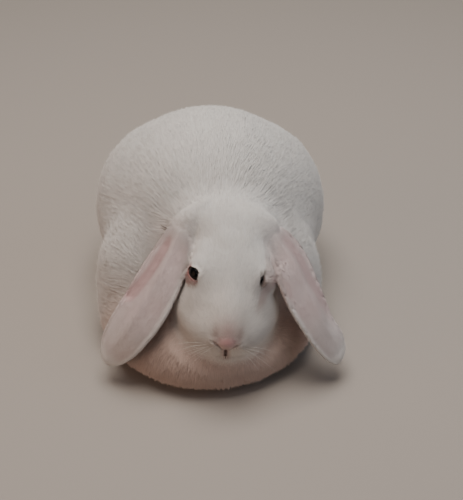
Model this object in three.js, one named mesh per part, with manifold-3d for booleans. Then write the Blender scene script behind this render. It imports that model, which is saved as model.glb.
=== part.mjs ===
// A lop-eared rabbit at rest, life size, in millimetres.
// It crouches with its feet drawn in, faces -Y, and has its left side at +X. The floor is Z = 0.
// The solids reach out to the tips of the coat.
import * as THREE from "three";
import { mergeVertices } from "three/addons/utils/BufferGeometryUtils.js";
import Module from "manifold-3d";

const wasm = await Module();
wasm.setup();

// Driving dimensions.
const bodyWidth = 212; // across the haunches
const bodyHeight = 173; // floor to the top of the back
const bodyReach = 130; // the breast and the rump reach this far from the middle
const headLength = 114; // nose to poll
const headWidth = 88; // across the cheeks
const headPitch = 33; // degrees that the bridge of the nose slopes down
const headTilt = 3.5; // degrees that the crown leans to the animal's left
const headRoll = 6; // degrees that the right cheek is turned up
const headAside = 19; // the head is carried this far to the left of the body's middle
const earThickness = 5;
const eyeDiameter = 17;
const eyeDepth = 6; // the lids' edge lies this far out from the middle of the eye
const bellyClearance = 3; // the belly and breast hang this far above the soles
const parting = 0.3; // thin gap between neighbouring pieces

const { degToRad, clamp } = THREE.MathUtils;
const sides = { left: 1, right: -1 };

// ---- forms ----------------------------------------------------------------------------------
// A form is a function that gives a point's distance to a surface, negative inside.

// An ellipsoid with this centre, half sizes and turn about X, Y and Z in degrees.
function mass(centre, half, turn = [0, 0, 0]) {
  const middle = new THREE.Vector3(...centre);
  const unturn = new THREE.Quaternion()
    .setFromEuler(new THREE.Euler(...turn.map(degToRad)))
    .invert();
  const q = new THREE.Vector3();
  return (point) => {
    q.copy(point).sub(middle).applyQuaternion(unturn);
    const near = Math.hypot(q.x / half[0], q.y / half[1], q.z / half[2]);
    const slope = Math.hypot(q.x / half[0] ** 2, q.y / half[1] ** 2, q.z / half[2] ** 2);
    return slope ? (near * (near - 1)) / slope : -Math.min(...half);
  };
}

// Forms joined into one, with creases rounded over this width.
const join = (soft, ...forms) => (point) =>
  forms.reduce((distance, form) => {
    const other = form(point);
    const share = Math.max(soft - Math.abs(distance - other), 0) / soft;
    return Math.min(distance, other) - (share * share * soft) / 4;
  }, 1e6);

// A form with another taken out of it, and the edge rounded over this width.
const carve = (soft, form, tool) => (point) => -join(soft, (p) => -form(p), tool)(point);

const flatBelow = (height, soft, form) => carve(soft, form, (point) => point.z - height);
const pair = (make) => Object.values(sides).map(make);

// ---- solids ---------------------------------------------------------------------------------

const bare = (geometry) => {
  geometry.deleteAttribute("normal");
  geometry.deleteAttribute("uv");
  return mergeVertices(geometry, 1e-4);
};

const solid = (geometry) =>
  new wasm.Manifold(
    new wasm.Mesh({
      numProp: 3,
      vertProperties: geometry.attributes.position.array,
      triVerts: new Uint32Array(geometry.index.array),
    }),
  );

// The closed surface of a form, as seen from a point inside it. `grow` moves it outwards.
function shell(form, inside, detail, grow = 0) {
  const geometry = bare(new THREE.IcosahedronGeometry(1, detail));
  const position = geometry.attributes.position;
  const origin = new THREE.Vector3(...inside);
  const out = new THREE.Vector3();
  const point = new THREE.Vector3();
  const at = (reach) => form(point.copy(origin).addScaledVector(out, reach)) - grow;
  for (let i = 0; i < position.count; i++) {
    out.fromBufferAttribute(position, i).normalize();
    let near = 0;
    let far = 0;
    for (let d = at(0); d < 0; d = at(far)) {
      near = far;
      far += Math.max(-d * 0.7, 0.3);
    }
    for (let step = 0; step < 24; step++) {
      const middle = (near + far) / 2;
      if (at(middle) < 0) near = middle;
      else far = middle;
    }
    point.copy(origin).addScaledVector(out, near);
    position.setXYZ(i, ...point);
  }
  return solid(geometry);
}

const without = (body, ...tools) => tools.reduce((left, tool) => left.subtract(tool), body);

// A big block whose flat face passes through `at`, square to `toward`, filling that side.
function beyond(at, toward, far = 500) {
  const block = new THREE.BoxGeometry(far, far, far).translate(0, 0, far / 2);
  const face = new THREE.Vector3(...toward).normalize();
  block.applyQuaternion(new THREE.Quaternion().setFromUnitVectors(new THREE.Vector3(0, 0, 1), face));
  return solid(bare(block.translate(...at)));
}

// ---- body -----------------------------------------------------------------------------------

const [W, H, R] = [bodyWidth, bodyHeight, bodyReach];
const haunch = (side) => [[side * 0.25 * W, 46, 0.4 * H], [0.245 * W, 70, 0.4 * H]];
const shoulder = (side) => [[side * 0.235 * W, -30, 0.3 * H], [0.225 * W, 44, 0.32 * H]];

const bodyForm = flatBelow(
  bellyClearance,
  12,
  join(
    22,
    mass([0, 20, 0.49 * H], [0.41 * W, 86, 0.49 * H]), // barrel
    mass([0, 56, 0.45 * H], [0.43 * W, R - 56, 0.48 * H]), // rump
    mass([0, -44, 0.13 * H], [0.45 * W, R - 39, 0.3 * H]), // breast
    mass([0.6 * headAside, -20, 0.54 * H], [0.22 * W, 40, 0.27 * H]), // nape
    ...pair((side) => mass(...shoulder(side))),
    ...pair((side) => mass(...haunch(side))),
  ),
);
const bodyMiddle = [0, 0, 0.36 * H];
const bodyShell = (grow) => shell(bodyForm, bodyMiddle, 6, grow);

// ---- head -----------------------------------------------------------------------------------
// In head space the nose points along -Y and the brow faces +Z.

const headMiddle = [headAside, -79, 91];
const headPlace = new THREE.Matrix4().compose(
  new THREE.Vector3(...headMiddle),
  new THREE.Quaternion().setFromEuler(
    new THREE.Euler(...[headPitch, headRoll, -headTilt].map(degToRad), "XYZ"),
  ),
  new THREE.Vector3(1, 1, 1),
);
const headUnplace = headPlace.clone().invert();
const inHead = (xyz) => new THREE.Vector3(...xyz).applyMatrix4(headPlace).toArray();
const turned = (form) => {
  const local = new THREE.Vector3();
  return (point) => form(local.copy(point).applyMatrix4(headUnplace));
};

const long = headLength / 114;
const wide = headWidth / 80;
const lobe = (x, y, z, hx, hy, hz) =>
  mass([x * wide, y * long, z], [hx * wide, hy * long, hz]);

// The middle of each eye, and the way it looks.
const eyeAt = (side) => new THREE.Vector3(side * 23.1 * wide, -6 * long, 13);
const eyeLook = (side) => new THREE.Vector3(side * 0.83, -0.17, 0.53).normalize();
const dishRadius = 13;
const dish = (side) =>
  mass(eyeAt(side).addScaledVector(eyeLook(side), dishRadius + eyeDepth), [
    dishRadius,
    dishRadius,
    dishRadius,
  ]);

const headForm = turned(
  carve(
    5,
    join(
      13,
      lobe(0, 12, 2, 31, 38, 28), // cranium
      lobe(0, -22, 8, 18, 34, 17), // bridge of the nose
      lobe(0, -38, -9, 27, 24, 22), // muzzle
      lobe(0, -50, -15, 16, 14, 10), // lips and chin
      lobe(0, 38, 12, 34, 18, 16), // poll
      ...pair((side) => lobe(side * 17, -24, -12, 22, 29, 23)), // cheeks
      ...pair((side) => lobe(side * 10, -48, -2, 12, 13, 11)), // whisker pads
      ...pair((side) => lobe(side * 17, -2, 13, 10, 15, 11)), // brows
    ),
    join(1, ...pair(dish)),
  ),
);
const headShell = (grow) => shell(headForm, inHead([0, -13, 1]), 7, grow);

const noseAt = [0, -57 * long, 8];
const noseForm = turned(mass(noseAt, [7, 4.5, 4.5]));
const noseShell = (grow) => shell(noseForm, inHead(noseAt), 1, grow);

// ---- ears -----------------------------------------------------------------------------------
// An ear is a sphere rolled out along a hanging line, with a leaf's outline and a curled section.
// Each line runs from the crown to the tip, with X from the middle of the head.

const earLines = {
  right: [
    [-16, -42, 128],
    [-38, -58, 121],
    [-51, -72, 104],
    [-67, -91, 82],
    [-85, -106, 55],
    [-105, -111, 21],
  ],
  left: [
    [4, -44, 124],
    [25, -59, 119],
    [48.5, -71, 100],
    [63, -89, 76],
    [77, -104, 48],
    [93, -110, 21],
  ],
};
const earFacing = { right: [-0.5, -0.7, 0.51], left: [0.75, -0.52, 0.42] };
// how far each edge lies from the line, at even steps from crown to tip
const earEdges = {
  right: { outer: [12, 13.8, 17.8, 19.2, 19.8, 22], inner: [12, 17, 22.9, 25, 21.3, 17] },
  left: { outer: [15, 19, 21.5, 21.6, 21.5, 30], inner: [14, 17, 24.8, 23.2, 16.2, 13] },
};
const evenly = (values, along) =>
  new THREE.SplineCurve(values.map((value, step) => new THREE.Vector2(step, value))).getPoint(along).y;

function ear(name, grow = 0) {
  const line = new THREE.CatmullRomCurve3(
    earLines[name].map(([x, y, z]) => new THREE.Vector3(x + headAside, y, z)),
  );
  const geometry = new THREE.SphereGeometry(1, 14, 16);
  const position = geometry.attributes.position;
  const face = new THREE.Vector3(...earFacing[name]);
  for (let i = 0; i < position.count; i++) {
    const [x, y, z] = [position.getX(i), position.getY(i), position.getZ(i)];
    const along = 0.5 - Math.asin(clamp(y, -1, 1)) / Math.PI;
    const ring = Math.hypot(x, z) || 1;
    const across = x / ring;
    const through = Math.sign(z) * Math.sqrt(Math.abs(z / ring));
    const spot = line.getPointAt(along);
    const down = line.getTangentAt(along);
    const out = face.clone().addScaledVector(down, -face.dot(down)).normalize();
    const width = new THREE.Vector3().crossVectors(out, down);
    // round at both ends, and off the line by half of what one edge lies further out
    const leaf = Math.sqrt(Math.max(1 - Math.abs(2 * along - 1) ** 4.5, 0));
    const [outer, inner] = ["outer", "inner"].map((edge) => leaf * evenly(earEdges[name][edge], along));
    const halfWidth = (outer + inner) / 2 + grow;
    const aside = (sides[name] * (outer - inner)) / 2;
    const curl = 6 * (1 - across * across) * leaf;
    const halfThick = ((earThickness / 2) * Math.min(1, leaf * 1.6) + grow) * through;
    spot.addScaledVector(width, aside + halfWidth * across);
    spot.addScaledVector(out, curl + halfThick - 4);
    position.setXYZ(i, spot.x, spot.y, spot.z);
  }
  return solid(bare(geometry));
}

// ---- feet and tail --------------------------------------------------------------------------

const feet = {
  hind_foot: {
    middle: (side) => [side * 78, 20, 8],
    masses: (side) => [
      mass([side * 76, 34, 10], [14, 48, 13], [0, 0, side * 3]), // sole
      mass([side * 79, -12, 8], [15, 18, 11]), // toes
    ],
  },
  fore_paw: {
    middle: (side) => [side * 27 + 6, -86, 8],
    masses: (side) => [
      mass([side * 27 + 6, -74, 12], [13, 32, 14], [8, 0, side * -4]), // paw
      mass([side * 26 + 6, -99, 8], [13, 14, 10]), // toes
    ],
  },
};
const footShell = ({ middle, masses }, side, grow) =>
  shell(join(8, ...masses(side)), middle(side), 2, grow);

const tailMiddle = [0, R + 1, 0.36 * H];
const tailForm = mass(tailMiddle, [20, 13, 30], [-8, 0, 0]);

// ---- the animal, parted ---------------------------------------------------------------------

const pieces = {};
const floor = beyond([0, 0, 0], [0, 0, -1]);
const headRoom = headShell(parting);
const earRoom = Object.keys(sides).map((name) => ear(name, parting));
let trunk = without(bodyShell(0), headRoom, ...earRoom);

for (const [kind, foot] of Object.entries(feet))
  for (const [name, side] of Object.entries(sides)) {
    pieces[`${kind}_${name}`] = without(footShell(foot, side, 0), floor);
    trunk = without(trunk, footShell(foot, side, parting));
  }

for (const [name, side] of Object.entries(sides))
  for (const [kind, limb] of Object.entries({ haunch, shoulder })) {
    const [[x, y, z], [across, along, up]] = limb(side);
    const at = [x * 1.3, y, z];
    const muscle = mass(at, [across, along, up * 1.2]);
    pieces[`${kind}_${name}`] = trunk.intersect(shell(muscle, at, 2));
    trunk = without(trunk, shell(muscle, at, 2, parting));
  }

const napeAt = [0, -5, 0.87 * H];
const napeFacing = [0, -0.65, 0.76];
pieces.neck = trunk.intersect(beyond(napeAt, napeFacing));
pieces.trunk = without(trunk, beyond([napeAt[0], napeAt[1] + parting, napeAt[2]], napeFacing));
pieces.tail = without(shell(tailForm, tailMiddle, 3), bodyShell(parting));

let head = without(headShell(0), noseShell(parting));
for (const [name, side] of Object.entries(sides)) {
  const place = inHead(eyeAt(side));
  const ball = (grow) =>
    solid(bare(new THREE.SphereGeometry(eyeDiameter / 2 + grow, 12, 8).translate(...place)));
  pieces[`eye_${name}`] = ball(0);
  pieces[`ear_${name}`] = without(ear(name), headRoom, ball(parting));
  head = without(head, ball(parting));
}
pieces.nose = noseShell(0);
pieces.head = head;

// ---- scene graph ----------------------------------------------------------------------------

const looks = {
  coat: { color: 0xe9e4dd, roughness: 0.95, metalness: 0 },
  ear: { color: 0xd9bdb6, roughness: 0.9, metalness: 0 },
  nose: { color: 0xd79a95, roughness: 0.6, metalness: 0 },
  eye: { color: 0x21130e, roughness: 0.05, metalness: 0 },
};

const rabbit = new THREE.Group();
for (const [name, piece] of Object.entries(pieces)) {
  const { vertProperties, triVerts } = piece.getMesh();
  const geometry = new THREE.BufferGeometry()
    .setAttribute("position", new THREE.BufferAttribute(new Float32Array(vertProperties), 3))
    .setIndex(new THREE.BufferAttribute(new Uint32Array(triVerts), 1));
  geometry.computeVertexNormals();
  const look = looks[name.split("_")[0]] ?? looks.coat;
  const mesh = new THREE.Mesh(geometry, new THREE.MeshStandardMaterial(look));
  mesh.name = name;
  rabbit.add(mesh);
}

// The origin is the floor point under the middle of the whole animal.
const middle = new THREE.Box3().setFromObject(rabbit).getCenter(new THREE.Vector3());
rabbit.position.set(-middle.x, -middle.y, 0);

export default rabbit;
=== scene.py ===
import math

import bmesh
import bpy
import numpy as np
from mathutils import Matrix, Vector


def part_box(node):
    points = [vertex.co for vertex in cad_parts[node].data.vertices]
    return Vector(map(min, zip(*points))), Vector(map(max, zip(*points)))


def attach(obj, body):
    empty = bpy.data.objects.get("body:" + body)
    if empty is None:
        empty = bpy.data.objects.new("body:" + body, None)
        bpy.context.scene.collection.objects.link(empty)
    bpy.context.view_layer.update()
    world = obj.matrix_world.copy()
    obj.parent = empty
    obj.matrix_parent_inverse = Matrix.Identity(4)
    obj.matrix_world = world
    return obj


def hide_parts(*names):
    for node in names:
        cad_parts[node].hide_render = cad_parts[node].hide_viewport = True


# A lop-eared rabbit crouching at rest. Forms are worked out in millimetres about the body's middle,
# as the solids are, and written to the meshes in metres in the frame.

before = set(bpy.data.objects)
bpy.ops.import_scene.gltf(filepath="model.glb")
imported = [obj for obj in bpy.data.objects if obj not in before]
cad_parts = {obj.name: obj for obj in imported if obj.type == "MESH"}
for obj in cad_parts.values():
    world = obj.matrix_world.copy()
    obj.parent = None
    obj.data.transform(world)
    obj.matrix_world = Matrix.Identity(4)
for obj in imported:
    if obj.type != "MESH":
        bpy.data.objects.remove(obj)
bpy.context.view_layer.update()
mm = 0.001
sides = {"left": 1, "right": -1}
dice = np.random.default_rng(11)  # every chance comes from here
tuftShare = 1.0

# ---- forms: each gives the distance of points to a surface, negative inside ----


def unit(vectors):
    return vectors / np.maximum(np.linalg.norm(vectors, axis=-1, keepdims=True), 1e-9)


def smooth(value, low, high):
    share = np.clip((value - low) / (high - low), 0, 1)
    return share * share * (3 - 2 * share)


# turned about X, then Y, then Z of the turned axes, in degrees
def turnMatrix(turn):
    x, y, z = (math.radians(angle) for angle in turn)
    aboutX = np.array([[1, 0, 0], [0, math.cos(x), -math.sin(x)], [0, math.sin(x), math.cos(x)]])
    aboutY = np.array([[math.cos(y), 0, math.sin(y)], [0, 1, 0], [-math.sin(y), 0, math.cos(y)]])
    aboutZ = np.array([[math.cos(z), -math.sin(z), 0], [math.sin(z), math.cos(z), 0], [0, 0, 1]])
    return aboutX @ aboutY @ aboutZ


# an ellipsoid
def mass(points, centre, half, turn=None):
    local = points - np.array(centre, float)
    if turn is not None:
        local = local @ turnMatrix(turn)
    half = np.array(half, float)
    near = np.linalg.norm(local / half, axis=1)
    slope = np.linalg.norm(local / half**2, axis=1)
    return np.where(slope > 0, near * (near - 1) / np.maximum(slope, 1e-9), -half.min())


# a round bar through a row of points
def bar(points, path, radius):
    path = np.array(path, float)
    distance = np.full(len(points), 1e6)
    for start, end in zip(path[:-1], path[1:]):
        line = end - start
        share = np.clip(((points - start) @ line) / (line @ line), 0, 1)
        distance = np.minimum(distance, np.linalg.norm(points - start - share[:, None] * line, axis=1))
    return distance - radius


def join(soft, *distances):
    total = distances[0]
    for other in distances[1:]:
        share = np.maximum(soft - np.abs(total - other), 0) / soft
        total = np.minimum(total, other) - share * share * soft / 4
    return total


def carve(soft, form, tool):
    return -join(soft, -form, tool)


# works a form out only within reach of a place, and gives a plain large distance elsewhere
def nearby(points, centre, reach, form):
    away = np.linalg.norm(points - np.array(centre, float), axis=1) - reach
    distance = np.maximum(away, 0) + 25
    close = away < 0
    if close.any():
        distance[close] = form(points[close])
    return distance


def slopeOf(form, points, gap=0.15):
    slopes = np.empty_like(points)
    for axis in range(3):
        offset = np.zeros(3)
        offset[axis] = gap
        slopes[:, axis] = form(points + offset) - form(points - offset)
    return slopes / (2 * gap)


# moves points onto a form's surface
def settle(points, form, rounds, most=1.5):
    for _ in range(rounds):
        slope = slopeOf(form, points)
        step = slope * (form(points) / np.maximum((slope**2).sum(1), 0.1))[:, None]
        size = np.linalg.norm(step, axis=1, keepdims=True)
        points = points - step * np.minimum(1, most / np.maximum(size, 1e-9))
    return points


# ---- body ----

body = {
    "width": 212,
    "height": 173,
    "reach": 130,
    "bellyClearance": 3,
    "coat": 4.2,  # depth of the coat over the skin
}


def bodyForm(points):
    width, height, reach, aside = body["width"], body["height"], body["reach"], head["aside"]
    masses = [
        mass(points, [0, 20, 0.49 * height], [0.41 * width, 86, 0.49 * height]),  # barrel
        mass(points, [0, 56, 0.45 * height], [0.43 * width, reach - 56, 0.48 * height]),  # rump
        mass(points, [0, -44, 0.13 * height], [0.45 * width, reach - 39, 0.3 * height]),  # breast
        mass(points, [0.6 * aside, -20, 0.54 * height], [0.22 * width, 40, 0.27 * height]),  # nape
    ]
    for side in sides.values():
        shoulder = [side * 0.235 * width, -30, 0.3 * height]
        haunch = [side * 0.25 * width, 46, 0.4 * height]
        masses.append(mass(points, shoulder, [0.225 * width, 44, 0.32 * height]))
        masses.append(mass(points, haunch, [0.245 * width, 70, 0.4 * height]))
    return carve(12, join(22, *masses), points[:, 2] - body["bellyClearance"])


# ---- head: in its own space the nose points along -Y and the brow faces +Z ----

head = {
    "width": 88,
    "pitch": 33,
    "tilt": 3.5,
    "roll": 6,
    "aside": 19,
    "middle": [19, -79, 91],
    "coat": 1.7,
}
headTurn = turnMatrix([head["pitch"], head["roll"], -head["tilt"]])
wide = head["width"] / 80


def toHead(points):
    return (points - np.array(head["middle"], float)) @ headTurn


def fromHead(points):
    return np.atleast_2d(points) @ headTurn.T + np.array(head["middle"], float)


def lobe(local, x, y, z, across, along, up):
    return mass(local, [x * wide, y, z], [across * wide, along, up])


eyes = {
    "radius": 8.5,
    "aside": 23.1,
    "lid": 9.5,  # outside of the lids, from the eye's middle
    "lidSoft": 7,
    "paintedTo": {"left": -3, "right": 1.5},  # how deep the colour of an opening reaches
    "look": {1: [0.5, -0.25, 0.83], -1: [-0.83, -0.17, 0.53]},
    # half length, half height, and how far it lies above and ahead of the middle
    "opening": {"left": [5.8, 1.4, 6.6, 3.6], "right": [5.9, 6.9, 0.5, 1.2]},
    "square": {"left": 2, "right": 3},
    "pointed": {"left": 0.35, "right": 0},
    "slant": {1: 0, -1: 24},  # degrees that the front corner lies lower
    # the lower lid of the open eye crosses it on a slant: front, top and how far out
    "lowerLid": [0.86, -0.51, 2.2],
}


def eyeAt(side):
    return np.array([side * eyes["aside"] * wide, -6, 13])


def eyeAxes(side):
    look = unit(np.array(eyes["look"][side]))
    ahead = np.array([0, -1, 0]) + look * look[1]
    ahead = unit(ahead)
    over = np.cross(look, ahead) * -side
    slant = math.radians(eyes["slant"][side])
    front = ahead * math.cos(slant) - over * math.sin(slant)
    top = ahead * math.sin(slant) + over * math.cos(slant)
    return look, front, top


# how far a place lies past the edge of the lower lid
def lowerLid(local, name):
    _, front, top = eyeAxes(sides[name])
    ahead, over, out = eyes["lowerLid"]
    offset = local - eyeAt(sides[name])
    return ahead * (offset @ front) + over * (offset @ top) - out


def eyeOpening(local, name, deepest=1.5):
    side = sides[name]
    look, front, top = eyeAxes(side)
    offset = local - eyeAt(side)
    along, ahead, over = offset @ look, offset @ front, offset @ top
    length, height, raised, forward = eyes["opening"][name]
    square, pointed = eyes["square"][name], eyes["pointed"][name]
    ahead, over = np.abs(ahead - forward) / length, np.abs(over - raised) / height
    oval = (ahead**square + over**square + pointed * ahead**3) ** (1 / square)
    opening = np.maximum((oval - 1) * height, deepest - along)
    return np.maximum(opening, lowerLid(local, name)) if name == "right" else opening


nose = {
    "tip": [0, -60, 2],
    "middle": [0, -59, 7],
    "half": [6.4, 4.8, 4.8],
    # lines on the front of the face, as across and up
    "nostril": [[10.8, 8.8], [8.6, 8.4], [5.8, 6.4], [3.0, 2.0]],
    "nostrilRadius": 0.8,
    "wing": [8.6, -57.0, 5.4],
    "wingHalf": [4.6, 5.0, 4.2],
    "cleft": [[0, 5.0], [0, 2.0], [0, 0.0]],
    "cleftRadius": 0.7,
    "mouth": [[0.2, 0.5], [0.7, -5.0], [1.2, -10.0]],
    "mouthRadius": 0.8,
    "lip": [[1, -9], [5, -10.5], [10, -13.5], [14, -16.5]],
    "lipRadius": 0.45,
}


def headFlesh(local):
    masses = [
        lobe(local, 0, 12, 2, 31, 38, 28),  # cranium
        lobe(local, 0, -22, 8, 18, 34, 17),  # bridge of the nose
        lobe(local, 0, -38, -9, 27, 24, 22),  # muzzle
        lobe(local, 0, -50, -15, 16, 14, 10),  # lips and chin
        lobe(local, 0, 38, 12, 34, 18, 16),  # poll
    ]
    for side in sides.values():
        masses.append(lobe(local, side * 17, -24, -12, 22, 29, 23))  # cheek
        masses.append(lobe(local, side * 10, -48, -2, 12, 13, 11))  # whisker pad
        masses.append(lobe(local, side * 17, -2, 13, 10, 15, 11))  # brow
        masses.append(lobe(local, side * 12, -37, -11, 13, 15, 14))  # jowl
        masses.append(lobe(local, side * 18, -16, 5, 10, 15, 11))  # under the eye
    # the coat thins towards the nose
    fromTip = np.linalg.norm(local - np.array(nose["tip"]), axis=1)
    flesh = join(13, *masses) + head["coat"] * (1 - 0.8 * np.exp(-((fromTip / 20) ** 2)))
    flesh = join(4, flesh, mass(local, nose["middle"], nose["half"]) + 0.3)
    for side in sides.values():
        x, y, z = nose["wing"]
        flesh = join(2.5, flesh, mass(local, [x * side, y, z], nose["wingHalf"]))
    return flesh


# sets a line given as across and up on the front of the face
def onFace(path):
    path = np.array(path, float)
    outer, inner = np.full(len(path), -90.0), np.full(len(path), -20.0)
    for _ in range(30):
        middle = (outer + inner) / 2
        within = headFlesh(np.stack([path[:, 0], middle, path[:, 1]], 1)) < 0
        inner, outer = np.where(within, middle, inner), np.where(within, outer, middle)
    return np.stack([path[:, 0], inner, path[:, 1]], 1)


faceLines = {name: onFace(nose[name]) for name in ("nostril", "cleft", "mouth", "lip")}


def mirrored(path, side):
    return path * np.array([side, 1, 1])


def headSkin(points):
    local = toHead(points)
    skin = headFlesh(local)
    for name, side in sides.items():
        lids = np.linalg.norm(local - eyeAt(side), axis=1) - eyes["lid"]
        skin = join(eyes["lidSoft"], skin, lids)
        skin = carve(0.6, skin, eyeOpening(local, name))
        skin = carve(1.0, skin, bar(local, mirrored(faceLines["nostril"], side), nose["nostrilRadius"]))
        skin = carve(1.5, skin, bar(local, mirrored(faceLines["lip"], side), nose["lipRadius"]))
    skin = carve(1.2, skin, bar(local, faceLines["cleft"], nose["cleftRadius"]))
    return carve(0.8, skin, bar(local, faceLines["mouth"], nose["mouthRadius"]))


# ---- ears: a leaf along a hanging line, with its coordinates along and across ----

ears = {
    "thickness": 4.2,
    "rim": 1.3,  # half the thickness at the edge
    "line": {
        "right": [[-16, -42, 128], [-38, -58, 121], [-51, -72, 104], [-67, -91, 82], [-85, -106, 55],
                  [-105, -111, 21]],
        "left": [[4, -44, 124], [25, -59, 119], [48.5, -71, 100], [63, -89, 76], [77, -104, 48],
                 [93, -110, 21]],
    },
    "facing": {"right": [-0.5, -0.7, 0.51], "left": [0.75, -0.52, 0.42]},
    # how far each edge lies from the line, at even steps from crown to tip
    "edges": {
        "right": {"outer": [12, 13.8, 17.8, 19.2, 19.8, 22], "inner": [12, 17, 22.9, 25, 21.3, 17]},
        "left": {"outer": [15, 19, 21.5, 21.6, 21.5, 30], "inner": [14, 17, 24.8, 23.2, 16.2, 13]},
    },
    "crown": [7, 18, 19],
    "root": 5.0,
    "steps": 90,
}


# a smooth line through points, evenly stepped, as a centripetal Catmull-Rom spline
def smoothLine(path, count):
    path = np.array(path, float)
    path = np.vstack([2 * path[0] - path[1], path, 2 * path[-1] - path[-2]])
    share = np.linspace(0, 1, 40, endpoint=False)[:, None]
    pieces = []
    for before, start, end, after in zip(path[:-3], path[1:-2], path[2:-1], path[3:]):
        gaps = [np.linalg.norm(b - a) ** 0.5 for a, b in ((before, start), (start, end), (end, after))]
        leave = (start - before) / gaps[0] - (end - before) / (gaps[0] + gaps[1])
        leave = (leave + (end - start) / gaps[1]) * gaps[1]
        reach = (end - start) / gaps[1] - (after - start) / (gaps[1] + gaps[2])
        reach = (reach + (after - end) / gaps[2]) * gaps[1]
        bend = 2 * start - 2 * end + leave + reach
        sweep = -3 * start + 3 * end - 2 * leave - reach
        pieces.append(start + leave * share + sweep * share**2 + bend * share**3)
    fine = np.vstack([*pieces, path[-2:-1]])
    run = np.concatenate([[0], np.cumsum(np.linalg.norm(np.diff(fine, axis=0), axis=1))])
    even = np.linspace(0, run[-1], count)
    return np.stack([np.interp(even, run, fine[:, axis]) for axis in range(3)], 1), run[-1]


earFrames = {}
for name, path in ears["line"].items():
    spots, length = smoothLine([[x + head["aside"], y, z] for x, y, z in path], ears["steps"])
    down = unit(np.gradient(spots, axis=0))
    facing = np.array(ears["facing"][name])
    out = unit(facing - (down @ facing)[:, None] * down)
    earFrames[name] = {"spots": spots, "length": length, "down": down, "out": out,
                       "width": np.cross(out, down)}


# a smooth value through evenly spaced ones
def evenly(values, along):
    values = np.array(values, float)
    place = along * (len(values) - 1)
    start = np.clip(place.astype(int), 0, len(values) - 2)
    share = place - start
    low, high = values[start], values[start + 1]
    leave = (high - values[np.maximum(start - 1, 0)]) / 2
    reach = (values[np.minimum(start + 2, len(values) - 1)] - low) / 2
    bend = 2 * (low - high) + leave + reach
    sweep = 3 * (high - low) - 2 * leave - reach
    return ((bend * share + sweep) * share + leave) * share + low


def leafOf(along):
    return np.sqrt(np.maximum(1 - np.abs(2 * along - 1) ** 4.5, 0))


# how far along the ear, how far across towards its outer edge (1 at the edge), and how far out
def earPlace(points, name):
    ear = earFrames[name]
    last = ears["steps"] - 1
    nearest = np.empty(len(points), int)
    for start in range(0, len(points), 40000):
        part = points[start:start + 40000]
        gaps = ((part[:, None, :] - ear["spots"][None, ::3, :]) ** 2).sum(2)
        nearest[start:start + 40000] = gaps.argmin(1) * 3
    offset = points - ear["spots"][nearest]
    index = nearest + (offset * ear["down"][nearest]).sum(1) / (ear["length"] / last)
    held = np.clip(index, 0, last)
    low = np.minimum(held.astype(int), last - 1)
    share = (held - low)[:, None]
    spot, down, out, width = (
        ear[key][low] * (1 - share) + ear[key][low + 1] * share
        for key in ("spots", "down", "out", "width")
    )
    offset = points - spot
    past = np.abs(index - held) * ear["length"] / last
    along = held / last
    leaf = leafOf(along)
    outer, inner = (leaf * evenly(ears["edges"][name][edge], along) for edge in ("outer", "inner"))
    halfWidth = (outer + inner) / 2
    sideways = (offset * width).sum(1) * sides[name] - (outer - inner) / 2
    across = sideways / np.maximum(halfWidth, 0.5)
    return along, across, (offset * out).sum(1), sideways, halfWidth, past, out, down


# how deep a place lies in the trough inside the outer edge, which ends at a fold
def earTrough(along, across, name):
    ends = {"right": 0.645, "left": 0.8}[name]
    centre = 0.42 + 0.3 * smooth(along, 0.35, ends)
    trough = np.exp(-(((across - centre) / 0.3) ** 2)) * smooth(along, 0.15, 0.32)
    sharp = {"right": 0.035, "left": 0.12}[name]
    return trough * (1 - smooth(along + 0.05 * (1 - across), ends - sharp, ends + sharp))


# the relief of the leaf, on top of its curl: the trough, a soft ridge beside it, and rolled rims
def earRelief(along, across, name):
    def hump(centre, spread):
        return np.exp(-(((across - centre) / spread) ** 2))

    trough = -{"right": 3.0, "left": 1.6}[name] * earTrough(along, across, name)
    ridge = 1.5 * hump(-0.05, 0.2) * smooth(along, 0.12, 0.3) * (1 - smooth(along, 0.7, 0.95))
    outerRim = 2.2 * smooth(across, 0.8, 1.0) * smooth(along, 0.08, 0.3)
    innerRim = 1.5 * smooth(-across, 0.8, 1.0) * smooth(along, 0.2, 0.5)
    tip = 2.2 * smooth(along, 0.93, 0.995)
    ripple = 0.5 * np.sin(along * 21 + across * 2.6) * hump(-0.2, 0.7)
    creases = 0.0
    for place, spread in ((0.1, 0.016), (0.17, 0.02)):
        creases = creases - 1.3 * np.exp(-(((along - place - 0.06 * across) / spread) ** 2)) * hump(-0.45, 0.5)
    return (trough + ridge + outerRim + innerRim + tip + ripple) * smooth(along, 0.12, 0.3) + creases


def earSkin(points, name):
    along, across, out, sideways, halfWidth, past, _, _ = earPlace(points, name)
    held = np.clip(across, -1, 1)
    leaf = leafOf(along)
    middle = 6 * (1 - held**2) * leaf - 4 + earRelief(along, held, name) * leaf
    half = ears["thickness"] / 2 + (ears["rim"] - ears["thickness"] / 2) * held**2
    half = half * np.minimum(1, 0.55 + leaf)
    # fleshy where it leaves the crown
    half = half + ears["root"] * (1 - smooth(along, 0.06, 0.3)) * (1 - held**2)
    beside = np.maximum(np.abs(sideways) - np.maximum(halfWidth - half, 0), 0)
    through = np.abs(out - middle) * 0.93
    return np.sqrt(beside**2 + through**2 + past**2) - half


# the muscle at the root, which carries the ear on the crown
def rootSkin(points, name):
    spots = earFrames[name]["spots"]
    crown = fromHead([sides[name] * ears["crown"][0], *ears["crown"][1:]])[0]
    return bar(points, [crown, spots[3], spots[12] - 2.5 * earFrames[name]["out"][12]], ears["root"])


def earReach(name):
    spots = earFrames[name]["spots"]
    return (spots[0] + spots[-1]) / 2, earFrames[name]["length"] / 2 + 36


# ---- feet and tail ----

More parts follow.
